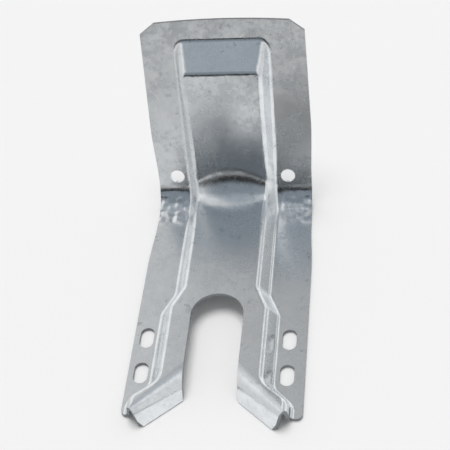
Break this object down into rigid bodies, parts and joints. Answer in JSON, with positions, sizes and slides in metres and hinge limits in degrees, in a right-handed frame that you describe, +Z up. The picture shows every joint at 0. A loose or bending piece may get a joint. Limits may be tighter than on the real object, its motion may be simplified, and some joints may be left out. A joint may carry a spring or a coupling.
{
  "type": "range anti-tip bracket",
  "caption": "Folded galvanised sheet bracket with a raised channel, a boxed back plate and an open slot that catches a range's levelling leg so it can't tip forward.",
  "frame": {"origin": "middle of the bounding box, on the floor it is screwed to", "axes": "+Z up from the floor, +Y towards the room's wall, +X across the bracket to the right as seen from the range"},
  "size_m": [0.0884, 0.1788, 0.1065],
  "materials": {
    "galvanised_sheet": "bright zinc coating, dulled by pressing"
  },
  "bodies": {
    "root": {"bracket": "galvanised_sheet"}
  },
  "joints": []
}
